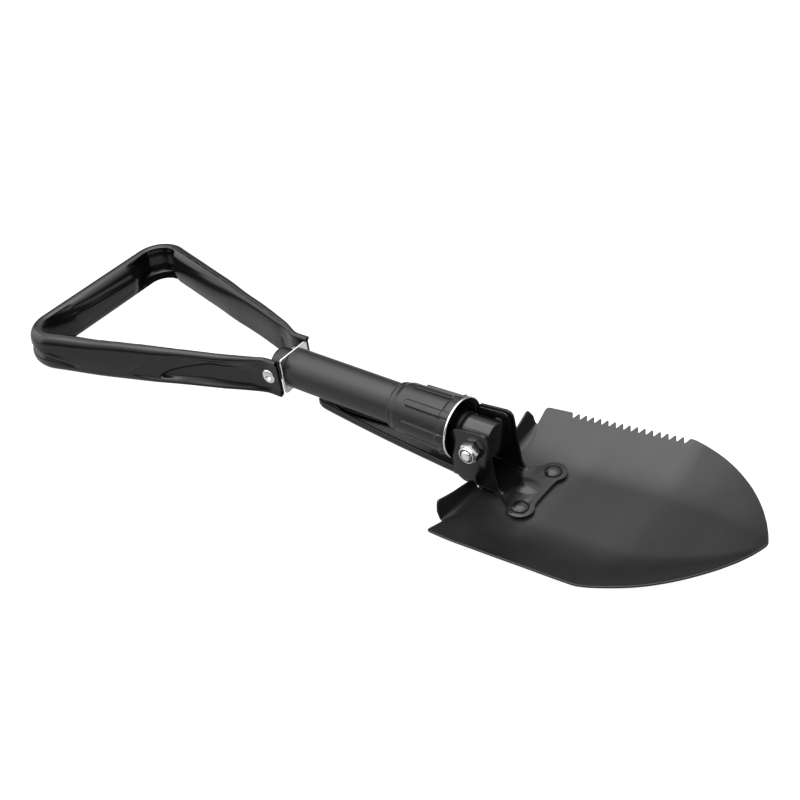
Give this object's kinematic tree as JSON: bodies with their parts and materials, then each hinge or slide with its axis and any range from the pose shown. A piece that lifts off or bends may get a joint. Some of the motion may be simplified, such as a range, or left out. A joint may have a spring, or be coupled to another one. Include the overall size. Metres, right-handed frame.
{
  "type": "folding camp shovel",
  "caption": "Folding camp shovel with a dished toothed blade, a folding pick, a screw lock collar on a tube shaft and a sprung triangular tube handle.",
  "frame": {"origin": "middle of the whole object's footprint, at the height of its lowest point, the flattened tails of the bracket rivets", "axes": "+X along the shaft from handle to blade tip, +Z out of the hollow side of the blade, +Y towards the toothed edge"},
  "size_m": [0.5904, 0.162, 0.0584],
  "materials": {
    "gloss_black_paint": "gloss black stove paint over steel",
    "satin_black_paint": "satin black paint over sheet steel",
    "tube_black_paint": "semi-matt black powder coat",
    "black_plastic": "satin moulded nylon",
    "zinc_plate": "bright zinc plate",
    "plain_steel": "oiled plain steel",
    "nylon": "natural nylon"
  },
  "bodies": {
    "shaft": {"shaft_tube": "tube_black_paint", "hinge_plug": "gloss_black_paint", "plug_pin": "plain_steel", "hinge_bush": "plain_steel", "hinge_bolt": "zinc_plate", "hinge_nut": "zinc_plate", "nut_insert": "nylon", "end_plate": "zinc_plate"},
    "ring": {"lock_ring": "zinc_plate"},
    "collar": {"lock_collar": "black_plastic"},
    "head": {"blade": "satin_black_paint", "blade_bracket": "gloss_black_paint", "bracket_rivet_left": "satin_black_paint", "bracket_rivet_right": "satin_black_paint"},
    "pick": {"pick": "gloss_black_paint"},
    "draw": {"draw_rod": "plain_steel", "spring_seat": "plain_steel", "rod_nut": "plain_steel", "draw_spring": "plain_steel", "pivot_block": "gloss_black_paint", "pivot_spacer_left": "plain_steel", "pivot_spacer_right": "plain_steel", "handle_rivet": "zinc_plate"},
    "handle": {"handle_grip": "gloss_black_paint"}
  },
  "joints": [
    {"name": "blade_fold", "type": "hinge", "parent": "shaft", "child": "head", "pos_m": [0.09575, 0, 0.03635], "axis": [0, -1, 0], "range_deg": [0, 174]},
    {"name": "pick_fold", "type": "hinge", "parent": "shaft", "child": "pick", "pos_m": [0.09575, 0, 0.03635], "axis": [0, -1, 0], "range_deg": [0, 94]},
    {"name": "collar_slide", "type": "slide", "parent": "shaft", "child": "ring", "axis": [-1, 0, 0], "range_m": [0, 0.0101]},
    {"name": "collar_spin", "type": "hinge", "parent": "ring", "child": "collar", "pos_m": [0.05, 0, 0.03635], "axis": [-1, 0, 0], "range_deg": [0, 900]},
    {"name": "handle_pull", "type": "slide", "parent": "shaft", "child": "draw", "axis": [-1, 0, 0], "range_m": [0, 0.01], "stiffness_N_per_m": 1000, "springref_m": -0.03, "deforming": ["draw_spring"]},
    {"name": "handle_fold", "type": "hinge", "parent": "draw", "child": "handle", "pos_m": [-0.08465, 0, 0.03635], "axis": [0, -1, 0], "range_deg": [0, 162]}
  ],
  "couplings": [
    {"joint": "pick_fold", "follows": "blade_fold", "ratio": 0.54},
    {"joint": "collar_slide", "follows": "collar_spin", "m_per_rad": 0.00063662}
  ]
}
